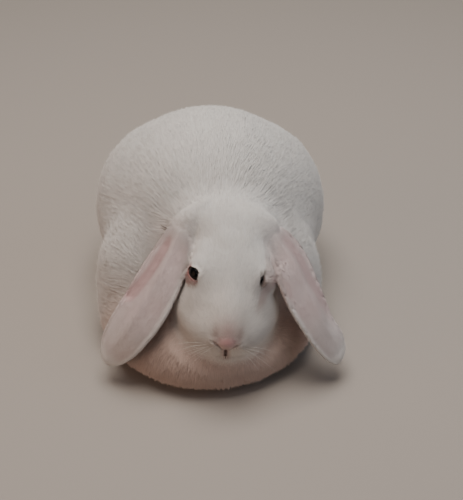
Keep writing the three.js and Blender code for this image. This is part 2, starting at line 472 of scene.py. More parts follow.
feet = {
    "hind": {
        "sole": [[76, 34, 10], [14, 48, 13], [0, 0, 3]],
        "toes": [[79, -12, 8], [15, 18, 11]],
        "spread": [-9, -3, 3, 9],
        "tip": [79, -24, 5.4],
        "toe": [3.6, 8, 5],
    },
    "fore": {
        "sole": [[27, -74, 12], [13, 32, 14], [8, 0, -4]],
        "toes": [[26, -99, 8], [13, 14, 10]],
        "spread": [-7.5, -2.5, 2.5, 7.5],
        "tip": [26, -107, 5.2],
        "toe": [3.2, 6.5, 4.6],
    },
    "coat": 2.0,
    "foreAside": 6,  # the fore paws stand this far to the left, under the head
}


def footSkin(points, kind, side):
    foot = feet[kind]
    aside = feet["foreAside"] if kind == "fore" else 0
    (x, y, z), half, (a, b, c) = foot["sole"]
    sole = mass(points, [x * side + aside, y, z], half, [a, b, c * side])
    (x, y, z), half = foot["toes"]
    toes = mass(points, [x * side + aside, y, z], half)
    skin = join(8, sole, toes) + feet["coat"]
    x, y, z = foot["tip"]
    for place in foot["spread"]:
        back = 0.048 * place * place
        toe = mass(points, [x * side + aside + place, y + back, z], foot["toe"])
        skin = join(2.2, skin, toe)
    return carve(2, skin, points[:, 2] - 0.6)


def footReach(kind, side):
    x, y, z = feet[kind]["sole"][0]
    aside = feet["foreAside"] if kind == "fore" else 0
    return [x * side + aside, y - 8, z], feet[kind]["sole"][1][1] + 26


tail = {"middle": [0, 131, 0.36 * 173], "half": [20, 13, 30], "turn": [-8, 0, 0], "coat": 6.0}


def tailSkin(points):
    return mass(points, tail["middle"], tail["half"], tail["turn"]) + tail["coat"]


# ---- skin: all of it as one form ----


def skinParts(points):
    parts = {"body": bodyForm(points) + body["coat"]}
    parts["head"] = nearby(points, head["middle"], 92, headSkin)
    parts["tail"] = nearby(points, tail["middle"], 50, tailSkin)
    for name, side in sides.items():
        centre, reach = earReach(name)
        parts["ear_" + name] = nearby(points, centre, reach, lambda some: earSkin(some, name))
        root = earFrames[name]["spots"][4]
        parts["root_" + name] = nearby(points, root, 60, lambda some: rootSkin(some, name))
        for kind in ("hind", "fore"):
            centre, reach = footReach(kind, side)
            form = nearby(points, centre, reach, lambda some: footSkin(some, kind, side))
            parts[kind + "_" + name] = form
    return parts


def skinForm(points):
    parts = skinParts(points)
    skin = join(12, parts["body"], parts["head"])
    skin = join(5, skin, parts["tail"])
    for name in sides:
        skin = join(4, skin, parts["hind_" + name])
        skin = join(4, skin, parts["fore_" + name])
        skin = join(9, skin, parts["root_" + name])
        fromRoot = np.linalg.norm(points - earFrames[name]["spots"][3], axis=1)
        skin = join(1.5 + 9 * (1 - smooth(fromRoot, 12, 34)), skin, parts["ear_" + name])
    return skin


# a closed mesh of quads where the form changes sign: one point for each grid cell that the skin crosses
def surfaceMesh(form, low, high, step):
    coarse = 4
    counts = (np.ceil((high - low) / step / coarse).astype(int)) * coarse + 1
    axes = [low[axis] + step * np.arange(counts[axis]) for axis in range(3)]

    def values(along):
        grid = np.stack(np.meshgrid(*along, indexing="ij"), -1)
        return form(grid.reshape(-1, 3)).reshape(grid.shape[:3])

    rough = values([axis[::coarse] for axis in axes])
    nearest = [np.round(np.arange(count) / coarse).astype(int) for count in counts]
    field = rough[np.ix_(*nearest)]
    close = np.argwhere(np.abs(field) < 9)
    for start in range(0, len(close), 400000):
        part = close[start:start + 400000]
        field[tuple(part.T)] = form(low + step * part)
    inside = field < 0
    corners = sum(
        inside[a:counts[0] - 1 + a, b:counts[1] - 1 + b, c:counts[2] - 1 + c].astype(np.int8)
        for a in (0, 1) for b in (0, 1) for c in (0, 1)
    )
    active = (corners > 0) & (corners < 8)
    index = np.full(active.shape, -1)
    index[active] = np.arange(active.sum())
    points = low + step * (np.argwhere(active) + 0.5)
    quads = []
    for axis in range(3):
        second, third = (axis + 1) % 3, (axis + 2) % 3
        lower = np.take(inside, np.arange(counts[axis] - 1), axis)
        upper = np.take(inside, np.arange(1, counts[axis]), axis)
        edges = np.argwhere(lower != upper)
        around = []
        for back, under in ((1, 1), (0, 1), (0, 0), (1, 0)):
            cell = edges.copy()
            cell[:, second] -= back
            cell[:, third] -= under
            around.append(index[tuple(cell.T)])
        quad = np.stack(around, 1)
        turned = ~lower[tuple(edges.T)]
        quad[turned] = quad[turned, ::-1]
        quads.append(quad)
    return points, np.vstack(quads)


# evens the points out along the surface
def relax(points, faces, rounds, form):
    first = np.concatenate([faces[:, k] for k in range(faces.shape[1])])
    second = np.concatenate([faces[:, (k + 1) % faces.shape[1]] for k in range(faces.shape[1])])
    count = np.bincount(first, minlength=len(points))[:, None]
    for _ in range(rounds):
        total = np.stack([np.bincount(first, points[second, axis], len(points)) for axis in range(3)], 1)
        points = settle(points * 0.5 + 0.5 * total / count, form, 1)
    return points


def meshOf(name, points, faces):
    mesh = bpy.data.meshes.new(name)
    mesh.vertices.add(len(points))
    mesh.vertices.foreach_set("co", ((points + shift) * mm).astype(np.float32).ravel())
    mesh.loops.add(faces.size)
    mesh.loops.foreach_set("vertex_index", faces.astype(np.int32).ravel())
    mesh.polygons.add(len(faces))
    mesh.polygons.foreach_set("loop_start", np.arange(0, faces.size, faces.shape[1], dtype=np.int32))
    mesh.update(calc_edges=True)
    mesh.shade_smooth()
    return mesh


def pieceOf(mesh, material):
    piece = bpy.data.objects.new(mesh.name, mesh)
    bpy.context.scene.collection.objects.link(piece)
    mesh.materials.append(material)
    return piece


def keep(mesh, name, values):
    kind, key = ("FLOAT_COLOR", "color") if values.ndim == 2 else ("FLOAT", "value")
    if values.ndim == 2:
        values = np.hstack([values, np.ones((len(values), 1))])
    mesh.attributes.new(name, kind, "POINT").data.foreach_set(key, values.astype(np.float32).ravel())


# the frame's place of the body's middle, from the eye that stands in it
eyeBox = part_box("eye_left")
shift = np.array((eyeBox[0] + eyeBox[1]) / 2) / mm - fromHead(eyeAt(1))[0]
print("shift of the frame, mm:", shift.round(3))

skin = {"step": 1.95, "aroundEye": [14, 12, 10.6], "aroundNose": [17, 12.5, 0], "atRim": 2.2,
        "besideEar": 1.5, "relax": 2}

points, quads = surfaceMesh(skinForm, np.array([-112.0, -150, -4]), np.array([126.0, 152, 178]), skin["step"])
points = settle(points, skinForm, 3)
points = relax(points, quads, skin["relax"], skinForm)
print("skin:", len(points), "points")


# finer faces round the eyes and over the nose and lips
def refine(points, quads, aroundEye, aroundNose):
    grid = bmesh.new()
    for point in points:
        grid.verts.new(point)
    grid.verts.ensure_lookup_table()
    for face in quads:
        grid.faces.new([grid.verts[k] for k in face])
    grid.faces.ensure_lookup_table()
    for eyeReach, noseReach in zip(aroundEye, aroundNose):
        places = np.array([face.calc_center_median() for face in grid.faces])
        centres = toHead(places)
        chosen = np.linalg.norm(centres - np.array([0, -58, 1]), axis=1) < noseReach
        for name, side in sides.items():
            near = np.linalg.norm(centres - eyeAt(side), axis=1) < eyeReach
            near[near] = earSkin(places[near], name) > skin["besideEar"]
            if noseReach == 0:
                near &= np.abs(eyeOpening(centres, name)) < skin["atRim"]
            chosen |= near
        edges = {edge for face, pick in zip(list(grid.faces), chosen) if pick for edge in face.edges}
        bmesh.ops.subdivide_edges(grid, edges=list(edges), cuts=1, use_grid_fill=True)
        grid.faces.ensure_lookup_table()
    bmesh.ops.triangulate(grid, faces=grid.faces[:])
    grid.verts.index_update()
    found = np.array([vert.co for vert in grid.verts])
    faces = np.array([[vert.index for vert in face.verts] for face in grid.faces])
    grid.free()
    return found, faces


points, faces = refine(points, quads, skin["aroundEye"], skin["aroundNose"])
points = settle(points, skinForm, 2)
normals = unit(slopeOf(skinForm, points))
print("skin:", len(faces), "triangles")

# ---- colours: the same for skin and coat ----

tints = {
    "coat": [0.90, 0.858, 0.82],
    # painted warm bounce light, laid on the lower body and the front of the face
    "warm": [0.82, 0.71, 0.63],
    "earFace": [0.79, 0.65, 0.635],
    "earTrough": [0.64, 0.42, 0.42],
    "pink": [0.66, 0.40, 0.385],
    "red": [0.34, 0.085, 0.075],
    "lid": [0.45, 0.27, 0.25],
    # painted shade, with the red-brown of the skin, where an ear lies against the face
    "paintedCreaseShade": [0.22, 0.13, 0.12],
    # painted grey shade, for below the closed eye
    "shade": [0.42, 0.39, 0.395],
    # dark lid margins, and painted shade on the walls of the eye openings
    "rim": [0.085, 0.05, 0.042],
    "pad": [0.46, 0.24, 0.235],
    # painted shade with warm bounce light, for the breast under the chin
    "breast": [0.66, 0.49, 0.42],
    "muzzle": [0.45, 0.30, 0.265],
    # painted shade, for the sides of the nose and around the mouth
    "mouth": [0.055, 0.018, 0.015],
# painted shade, near black, for the nostrils and the mouth's line
}
tints = {name: np.array(value) for name, value in tints.items()}


# smooth waves over the coat, the same on each run
def waves(points, size, seed):
    chance = np.random.default_rng(seed)
    total = np.zeros(len(points))
    for _ in range(9):
        way = unit(chance.normal(size=3)) * chance.uniform(0.6, 1.6) / size
        total += np.sin(points @ way * 2 * math.pi + chance.uniform(0, 7))
    return total / 3


def mix(under, over, share):
    return under * (1 - share[:, None]) + over * share[:, None]


# the share of each kind of skin at some points
def sharesOf(points, parts=None, soft=2.5):
    parts = dict(parts or skinParts(points))
    for name in sides:
        parts["head"] = np.minimum(parts["head"], parts.pop("root_" + name))
    names = list(parts)
    distances = np.stack([parts[name] for name in names], 1)
    weights = np.exp(-np.clip((distances - distances.min(1, keepdims=True)) / soft, 0, 30))
    weights /= weights.sum(1, keepdims=True)
    shares = {name: weights[:, k] for k, name in enumerate(names)}
    # the root of an ear has the coat of the head
    for name in sides:
        moved = shares["ear_" + name] * (1 - smooth(earPlace(points, name)[0], 0.08, 0.24))
        shares["ear_" + name] = shares["ear_" + name] - moved
        shares["head"] = shares["head"] + moved
    return shares


def paint(points, shares):
    local = toHead(points)
    colour = np.repeat(tints["coat"][None], len(points), 0)
    # painted warm bounce light from the floor, stronger towards the bottom of the body
    low = 0.5 * (1 - smooth(points[:, 2], 4, 40))
    # painted shade with warm bounce light on the breast under the chin
    breast = (1 - smooth(points[:, 1], -95, -50)) * (1 - smooth(points[:, 2], 45, 85)) * (1 - shares["head"])
    colour = mix(mix(colour, tints["warm"], low), tints["breast"], breast)
    # painted warm light on the front of the face
    muzzle = (1 - smooth(local[:, 1], -45, 0)) * shares["head"]
    colour = mix(colour, tints["warm"], 0.45 * muzzle)
    bridge = np.exp(-((local[:, 0] / 8) ** 2) - ((local[:, 1] + 54) / 9) ** 2) * smooth(local[:, 2], 2, 9)
    colour = mix(colour, tints["pink"], 0.55 * bridge * shares["head"])
    pad = smooth(-mass(local, nose["middle"], np.array(nose["half"]) + [3.2, 2.0, 4.0]), 0.0, 4.2)
    colour = mix(colour, tints["pad"], 0.95 * pad * shares["head"])
    # painted shade: the sides of the nose are a little darker than its ridge
    noseSideShade = np.exp(-(((np.abs(local[:, 0]) - 8.5) / 2.2) ** 2)) * smooth(local[:, 2], 4, 9)
    noseSideShade *= (1 - smooth(local[:, 2], 13, 19)) * (1 - smooth(local[:, 1], -52, -42))
    colour = mix(colour, tints["muzzle"], 0.45 * noseSideShade * shares["head"])
    # painted shade in a soft spread around the cleft and the mouth
    around = np.minimum(bar(local, faceLines["cleft"], 0), bar(local, faceLines["mouth"], 0))
    colour = mix(colour, tints["muzzle"], 0.75 * (1 - smooth(around, 1.2, 5.5)) * shares["head"])
    # painted shade, near black, in the mouth's line
    dark = bar(local, faceLines["mouth"], nose["mouthRadius"])
    patches = waves(points, 24, 7)
    for name, side in sides.items():
        # painted shade, near black, in the nostril slits, deeper on one side
        nostril = bar(local, mirrored(faceLines["nostril"], side), nose["nostrilRadius"])
        depth = {"left": 0.45, "right": 0.72}[name]
        colour = mix(colour, tints["mouth"], depth * (1 - smooth(nostril, -0.4, 0.8)) * shares["head"])
        look, front, top = eyeAxes(side)
        offset = local - eyeAt(side)
        opening = eyeOpening(local, name, eyes["paintedTo"][name])
        facing = smooth(offset @ look, -2, 0) * shares["head"]
        if name == "right":
            # pink under the slanting lower lid, and red in the outer corner
            past = lowerLid(local, name)
            close = 1 - smooth(np.linalg.norm(offset, axis=1), 11, 15)
            wedge = smooth(past, -0.6, 0.6) * (1 - smooth(past, 4.5, 10)) * close
            colour = mix(colour, tints["lid"], 0.85 * wedge * facing)
            edge = smooth(past, -0.9, -0.1) * (1 - smooth(opening, 0.3, 2.4))
            colour = mix(colour, tints["red"], 0.65 * edge * facing)
            corner = smooth(-(offset @ top), 0.0, 3.5) * (1 - smooth(opening, 0.5, 4.0))
            colour = mix(colour, tints["red"], 0.85 * corner * facing)
        else:
            # painted grey shade below the closed eye's slit
            under = smooth(offset @ front, -1, 7) * (1 - smooth(opening, 1, 8))
            colour = mix(colour, tints["shade"], 0.6 * under * facing)
            lid = (1 - smooth(offset @ top, 4.5, 7)) * (1 - smooth(opening, 5, 11))
            colour = mix(colour, tints["lid"], 0.4 * lid * facing)
            behind = np.exp(-(((offset @ front) / 5) ** 2) - (((offset @ top) + 3.0) / 4) ** 2)
            colour = mix(colour, tints["red"], 0.6 * behind * facing)
        # dark lid margins, with painted shade on the walls of the openings and in the closed eye's slit
        upper = 1 if name == "left" else 1 - smooth(lowerLid(local, name), -1.5, 0)
        soft, most = {"left": (1.3, 0.8), "right": (0.9, 0.9)}[name]
        edge = most * (1 - smooth(opening, 0, soft)) * facing
        colour = mix(colour, tints["rim"], edge * (0.5 + 0.5 * upper))
        along, across, _, _, _, _, _, _ = earPlace(points, name)
        ear = np.repeat(tints["earFace"][None], len(points), 0)
        ear = mix(ear, tints["earTrough"], 0.18 * (0.5 + 0.5 * patches).clip(0, 1))
        ear = mix(ear, tints["coat"], 0.75 * smooth(-across, 0.72, 0.98))
        trough = smooth(earTrough(along, across, name), 0.15, 0.7)
        ear = mix(ear, tints["earTrough"], trough * {"left": 0.45, "right": 0.85}[name])
        ear = mix(ear, tints["coat"], 0.4 * smooth(along, 0.6, 0.8) + 0.5 * smooth(along, 0.86, 0.98))
        if name == "left":
            # painted shade in the gap between the cheek and the ear, together with the red of the ear's inner flesh
            gap = smooth(-across, 0.55, 1.0) * smooth(along, 0.28, 0.36) * (1 - smooth(along, 0.5, 0.62))
            ear = mix(ear, tints["red"], 0.35 * gap)
        ear = mix(ear, tints["coat"], 0.9 * (1 - smooth(along, 0.08, 0.28)))
        colour = mix(colour, 0, shares["ear_" + name]) + ear * shares["ear_" + name][:, None]
        # painted shade, with the red-brown of the skin, in the crease where the ear lies against the face
        paintedCreaseShade = (4 * shares["ear_" + name] * shares["head"]) ** 2
        paintedCreaseShade *= smooth(along, 0.26, 0.33) * (1 - smooth(along, 0.5, 0.62))
        colour = mix(colour, tints["paintedCreaseShade"], 0.65 * paintedCreaseShade)
    # painted shade, near black, in the mouth's line
    return mix(colour, tints["mouth"], (1 - smooth(dark, -0.3, 1.5)) * shares["head"])


# ---- materials ----


def link(tree, source, target):
    tree.links.new(source, target)


def nodeMaterial(name):
    material = bpy.data.materials.new(name)
    material.use_nodes = True
    return material, material.node_tree, material.node_tree.nodes["Principled BSDF"]


# fine mottling of a colour and a bump to go with it, for every furred surface
def makeMottle():
    tree = bpy.data.node_groups.new("furMottle", "ShaderNodeTree")
    for name, kind in (("Color", "NodeSocketColor"), ("Scale", "NodeSocketFloat"), ("Amount", "NodeSocketFloat")):
        tree.interface.new_socket(name, in_out="INPUT", socket_type=kind)
    for name, kind in (("Color", "NodeSocketColor"), ("Height", "NodeSocketFloat")):
        tree.interface.new_socket(name, in_out="OUTPUT", socket_type=kind)
    inside, outside = tree.nodes.new("NodeGroupInput"), tree.nodes.new("NodeGroupOutput")
    place = tree.nodes.new("ShaderNodeTexCoord")
    noise = tree.nodes.new("ShaderNodeTexNoise")
    noise.inputs["Detail"].default_value = 3
    link(tree, place.outputs["Object"], noise.inputs["Vector"])
    link(tree, inside.outputs["Scale"], noise.inputs["Scale"])
    spread = tree.nodes.new("ShaderNodeMapRange")
    spread.inputs["From Min"].default_value = 0.3
    spread.inputs["From Max"].default_value = 0.7
    link(tree, noise.outputs["Fac"], spread.inputs["Value"])
    shade = tree.nodes.new("ShaderNodeMath")
    shade.operation = "MULTIPLY"
    link(tree, spread.outputs["Result"], shade.inputs[0])
    link(tree, inside.outputs["Amount"], shade.inputs[1])
    darker = tree.nodes.new("ShaderNodeMix")
    darker.data_type = "RGBA"
    darker.blend_type = "MULTIPLY"
    darker.inputs["B"].default_value = (0.62, 0.56, 0.5, 1)
    link(tree, shade.outputs[0], darker.inputs["Factor"])
    link(tree, inside.outputs["Color"], darker.inputs["A"])
    link(tree, darker.outputs["Result"], outside.inputs["Color"])
    link(tree, noise.outputs["Fac"], outside.inputs["Height"])
    return tree


mottle = makeMottle()


def furMaterial(name, values):
    material, tree, shader = nodeMaterial(name)
    tint = tree.nodes.new("ShaderNodeAttribute")
    tint.attribute_name = "tint"
    group = tree.nodes.new("ShaderNodeGroup")
    group.node_tree = mottle
    group.inputs["Scale"].default_value = values["scale"]
    group.inputs["Amount"].default_value = values["amount"]
    link(tree, tint.outputs["Color"], group.inputs["Color"])
    link(tree, group.outputs["Color"], shader.inputs["Base Color"])
    if values["bump"]:
        bump = tree.nodes.new("ShaderNodeBump")
        bump.inputs["Strength"].default_value = values["bump"]
        bump.inputs["Distance"].default_value = values["depth"]
        link(tree, group.outputs["Height"], bump.inputs["Height"])
        link(tree, bump.outputs["Normal"], shader.inputs["Normal"])
    shader.inputs["Roughness"].default_value = values["roughness"]
    shader.inputs["Sheen Weight"].default_value = values["sheen"]
    shader.inputs["Sheen Roughness"].default_value = 0.5
    shader.inputs["Specular IOR Level"].default_value = values["specular"]
    if values.get("subsurface"):
        shader.inputs["Subsurface Weight"].default_value = values["subsurface"]
        shader.inputs["Subsurface Radius"].default_value = (1.0, 0.35, 0.25)
        shader.inputs["Subsurface Scale"].default_value = 0.003
    return material


skinMaterial = furMaterial("rabbitSkin", {"scale": 1400, "amount": 0.12, "bump": 0.35, "depth": 0.0004,
                                          "roughness": 0.75, "sheen": 0.15, "specular": 0.25})
coatMaterial = furMaterial("plushCoat", {"scale": 90, "amount": 0.06, "bump": 0, "depth": 0,
                                         "roughness": 0.9, "sheen": 0.2, "specular": 0.12})

flesh = ["trunk", "neck", "head", "nose", "tail"]
flesh += [part + "_" + side for side in sides
          for part in ("ear", "haunch", "shoulder", "hind_foot", "fore_paw")]

shares = sharesOf(points)
mesh = meshOf("skin", points, faces)
keep(mesh, "tint", paint(points, shares))
skinPiece = pieceOf(mesh, skinMaterial)
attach(skinPiece, "root")
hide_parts(*flesh)
print("skin done")

# ---- coat ----

# length, lift at the root in degrees, width, tufts for each square millimetre
coat = {
    "body": {"length": 13, "lift": 24, "width": 0.95, "density": 1.5},
    "head": {"length": 5.2, "lift": 22, "width": 0.5, "density": 2.5},
    "ear": {"length": 3.2, "lift": 13, "width": 0.36, "density": 1.9},
    "foot": {"length": 4.5, "lift": 22, "width": 0.6, "density": 1.4},
    "tail": {"length": 13, "lift": 38, "width": 1.0, "density": 1.4},
    "vary": 0.16,
    "most": 32500,  # tufts in a piece
}


def kindShares(shares):
    return {
        "body": shares["body"],
        "head": shares["head"],
        "ear": shares["ear_left"] + shares["ear_right"],
        "foot": sum(shares[kind + "_" + name] for kind in ("hind", "fore") for name in sides),
        "tail": shares["tail"],
    }


# the way the hair lies, before it is laid on the skin
def lieOf(points, normals, shares):
    local = toHead(points)
    backwards = smooth(points[:, 1], -125, -60)
    lie = np.stack([0.12 * points[:, 0] / 106, 0.15 + backwards, -0.35 - 0.8 * (1 - backwards)], 1)
    fromNose = unit(local - np.array([0, -66, 14]))
    face = fromNose @ headTurn.T
    for name, side in sides.items():
        offset = local - eyeAt(side)
        look, front, top = eyeAxes(side)
        length, _, raised, forward = eyes["opening"][name]
        ahead = (offset @ front).clip(forward - 0.8 * length, forward + 0.8 * length)
        away = offset - raised * top - ahead[:, None] * front
        away = unit(away - (away @ look)[:, None] * look)
        close = 0.8 * (1 - smooth(np.linalg.norm(offset, axis=1), 9, 16))[:, None]
        face = face * (1 - close) + close * (away @ headTurn.T)
    total = lie * (shares["body"] + shares["tail"])[:, None] + face * shares["head"][:, None]
    for name in sides:
        down = earPlace(points, name)[7]
        total += down * shares["ear_" + name][:, None]
        for kind in ("hind", "fore"):
            total += np.array([0, -1, -0.25]) * shares[kind + "_" + name][:, None]
    lie = total + 0.1 * np.stack([waves(points, 26, k) for k in (1, 2, 3)], 1)
    lie = lie - (lie * normals).sum(1)[:, None] * normals
    return unit(lie)


def scatter(points, faces, density):
    corners = points[faces]
    area = np.linalg.norm(np.cross(corners[:, 1] - corners[:, 0], corners[:, 2] - corners[:, 0]), axis=1) / 2
    wanted = area * density[faces].mean(1) * tuftShare
    count = (wanted + dice.random(len(faces))).astype(int)
    face = np.repeat(np.arange(len(faces)), count)
    first, second = dice.random(len(face)), dice.random(len(face))
    over = first + second > 1
    first[over], second[over] = 1 - first[over], 1 - second[over]
    weights = np.stack([1 - first - second, first, second], 1)
    return face, weights


kinds = kindShares(shares)
density = sum(kinds[kind] * coat[kind]["density"] for kind in kinds)
headLocal = toHead(points)
bareNose = smooth(-mass(headLocal, nose["middle"], np.array(nose["half"]) + 1.0), -0.8, 0.8) * shares["head"]
density *= 1 - bareNose
for name, side in sides.items():
    opening = eyeOpening(headLocal, name, eyes["paintedTo"][name])
    density *= 1 - (1 - smooth(opening, 1.0, 3.0)) * (np.linalg.norm(headLocal - eyeAt(side), axis=1) < 11)
for key, most in (("mouth", 2.4), ("cleft", 2.0), ("nostril", 0.7)):
    for side in sides.values():
        line = bar(headLocal, mirrored(faceLines[key], side), nose[key + "Radius"])
        density *= smooth(line, 0.2, 0.2 + most)
density *= smooth(points[:, 2], 0.5, 2.5)
density *= 1 - 0.5 * smooth(-normals[:, 2], 0.5, 0.8)  # thinner under the belly
face, weights = scatter(points, faces, density)


def carried(values):
    return (values[faces[face]] * (weights[..., None] if values.ndim == 2 else weights)).sum(1)


roots = carried(points)
rootNormals = unit(carried(normals))
rootShares = {name: carried(value) for name, value in shares.items()}
rootKinds = kindShares(rootShares)
print("tufts:", len(roots))

lie = lieOf(roots, rootNormals, rootShares)


def blended(key):
    return sum(rootKinds[kind] * coat[kind][key] for kind in rootKinds)


length = blended("length") * (1 + coat["vary"] * dice.normal(size=len(roots)).clip(-2, 2))
length *= 1 + 0.05 * waves(roots, 17, 5)
lift = np.radians(blended("lift") * (1 + 0.12 * dice.normal(size=len(roots)).clip(-2, 2)))
width = blended("width") * dice.uniform(0.75, 1.25, len(roots))
rootLocal = toHead(roots)
nearNose = np.exp(-((np.linalg.norm(rootLocal - np.array([0, -60, 6]), axis=1) / 26) ** 2)) * rootKinds["head"]
length *= 1 - 0.55 * nearNose
for side in sides.values():
    nearEye = np.exp(-((np.linalg.norm(rootLocal - eyeAt(side), axis=1) / 13) ** 2)) * rootKinds["head"]
    length *= 1 - 0.5 * nearEye
onBreast = (1 - smooth(roots[:, 1], -110, -70)) * rootKinds["body"]
length *= 1 - 0.35 * onBreast
lift *= 1 - 0.3 * onBreast
jitter = dice.normal(size=len(roots)) * 0.1
beside = np.cross(rootNormals, lie)
lie = unit(lie + beside * jitter[:, None])
beside = np.cross(rootNormals, lie)


# the middle line of each tuft, rising and then bending back over
def tuftLine(share):
    run = share * np.cos(lift) + 0.12 * share * share
    rise = np.sin(lift) * (share - 0.42 * share * share)
    return roots + length[:, None] * (lie * run[:, None] + rootNormals * rise[:, None])


# hair of the body gives way to the head and ears
def stops(points):
    parts = {"head": nearby(points, head["middle"], 92, headSkin)}
    for name in sides:
        centre, reach = earReach(name)
        parts[name] = nearby(points, centre, reach, lambda some: earSkin(some, name))
    return parts


held = stops(tuftLine(1.0))
middleHeld = stops(tuftLine(0.55))
blocked = np.zeros(len(roots), bool)
for name in held:
    own = rootShares["head"] if name == "head" else rootShares["ear_" + name]
    close = (np.minimum(held[name], middleHeld[name]) < (0.4 if name == "head" else 1.0)) & (own < 0.3)
    blocked |= close
length[blocked] *= 0.45
lift[blocked] *= 0.45
again = stops(tuftLine(0.8))
gone = np.zeros(len(roots), bool)
for name in again:
    own = rootShares["head"] if name == "head" else rootShares["ear_" + name]
    gone |= (again[name] < 0.2) & (own < 0.3)
low = tuftLine(1.0)[:, 2] < 0.2
lift[low] = np.radians(8)
length[low] *= 0.6
gone |= tuftLine(1.0)[:, 2] < -0.5
print("tufts shortened:", int(blocked.sum()), "and left out:", int(gone.sum()))

tint = paint(roots, rootShares)
tint *= (1 + 0.035 * dice.normal(size=len(roots)).clip(-2, 2))[:, None]
tint = tint.clip(0, 0.93)

# a tuft is a spindle: a point at the root, three corners at this share of its length, and the tip.
# The shortest are a spike with the three corners at the root.
tuftShapes = {"spindle": 0.38, "spike": 0.0}
patch = 0.003  # size of a tuft's place on the bake map


def growTufts(name, chosen, unwrap, kind):
    chosen = np.flatnonzero(chosen & ~gone)
    count, swell = len(chosen), tuftShapes[kind]
    side, up = beside[chosen], rootNormals[chosen]
    girth = width[chosen][:, None] / 2
    middle = tuftLine(swell)[chosen]
    tip = tuftLine(1.0)[chosen]
    root = roots[chosen] - 0.4 * up
    middle = middle if kind == "spindle" else root
    points = [middle + side * girth, middle + up * girth * 0.5, middle - side * girth, tip]
    leans = [up + side * 0.22, up, up - side * 0.22, up]
    along, across = [swell, swell, swell, 1.0], [0, 0.5, 1, 0.5]
    pattern = [[0, 1, 3], [1, 2, 3], [2, 0, 3]]
    if kind == "spindle":
        points.append(root)
        leans.append(up)
        along.append(0.0)
        across.append(0.5)
        pattern += [[1, 0, 4], [2, 1, 4], [0, 2, 4]]
    else:
        pattern.append([2, 1, 0])
    corners = len(points)
    faces = np.array(pattern)[None] + (np.arange(count) * corners)[:, None, None]
    faces = faces.reshape(-1, 3)
    mesh = meshOf(name, np.stack(points, 1).reshape(-1, 3), faces)
    along, across = np.array(along), np.array(across)
    # painted shade: each tuft is a little darker towards its root
    shade = tint[chosen][:, None, :] * (0.93 + 0.07 * along)[None, :, None]
    keep(mesh, "tint", shade.reshape(-1, 3))
    place = patch + unwrap(roots[chosen]).clip(0, 1) * (1 - 3 * patch)
    spot = np.stack([place[:, :1] + across * patch, place[:, 1:] + along * patch], 2)
    layer = mesh.uv_layers.new(name="OFBake")
    layer.data.foreach_set("uv", spot.reshape(-1, 2)[faces.ravel()].astype(np.float32).ravel())
    softNormals = unit(np.stack(leans, 1)).reshape(-1, 3)
    mesh.normals_split_custom_set_from_vertices(softNormals.astype(np.float32))
    piece = pieceOf(mesh, coatMaterial)
    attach(piece, "root")
    print(name, count, "tufts,", len(faces), "triangles")
    return piece


# round the body: the angle about its long axis and the way from breast to rump, spread evenly
def aroundBody(low, high):
    def unwrap(points):
        angle = np.arctan2(points[:, 0], points[:, 2] - 62)
        span = np.arctan2(points[:, 1], np.hypot(points[:, 0], points[:, 2] - 62))
        return np.stack([(angle - low) / (high - low), span / 3.2 + 0.5], 1)
    return unwrap


def aroundHead(points):
    way = unit(toHead(points) - np.array([0, -10, 0]))
    angle = np.arctan2(way[:, 0], way[:, 2]) / (2 * math.pi) + 0.5
    return np.stack([angle, np.arcsin(way[:, 1].clip(-1, 1)) / math.pi + 0.5], 1)


def overEar(name):
    def unwrap(points):
        along, across, out, _, _, _, _, _ = earPlace(points, name)
        face = out > 6 * (1 - across.clip(-1, 1) ** 2) * leafOf(along) - 4
        return np.stack([0.24 + 0.22 * across + 0.5 * face, along], 1)
    return unwrap


def fromAbove(points):
    low, high = points.min(0), points.max(0)
    spread = (points - low) / (high - low)
    return np.stack([spread[:, 0] * 0.5 + spread[:, 2] * 0.5, spread[:, 1]], 1)


names = list(rootShares)
most = np.stack([rootShares[name] for name in names], 1).argmax(1)
isBody = most == names.index("body")
angle = np.arctan2(roots[:, 0], roots[:, 2] - 62)
bodyPieces = max(1, math.ceil((isBody & ~gone).sum() / coat["most"]))
edges = np.quantile(angle[isBody & ~gone], np.linspace(0, 1, bodyPieces + 1))
edges[0], edges[-1] = -4, 4
for number, (low, high) in enumerate(zip(edges[:-1], edges[1:])):
    chosen = isBody & (angle >= low) & (angle < high)
    growTufts(f"coatBody_{number + 1}", chosen, aroundBody(max(low, -3.15), min(high, 3.15)), "spindle")
isHead = most == names.index("head")
headAngle = aroundHead(roots)[:, 1]
headPieces = max(1, math.ceil((isHead & ~gone).sum() / coat["most"]))
edges = np.quantile(headAngle[isHead & ~gone], np.linspace(0, 1, headPieces + 1))
edges[0], edges[-1] = -1, 2
for number, (low, high) in enumerate(zip(edges[:-1], edges[1:])):
    growTufts(f"coatHead_{number + 1}", isHead & (headAngle >= low) & (headAngle < high), aroundHead,
              "spindle")
for name in sides:
    growTufts("coatEar_" + name, most == names.index("ear_" + name), overEar(name), "spike")
growTufts("coatTail", most == names.index("tail"), fromAbove, "spindle")
for kind in ("hind", "fore"):
    chosen = np.isin(most, [names.index(kind + "_" + name) for name in sides])
    growTufts("coatFeet_" + kind, chosen, fromAbove, "spindle")

# ---- whiskers and claws: one tree sets a tapered, bent horn on each point of a mesh ----


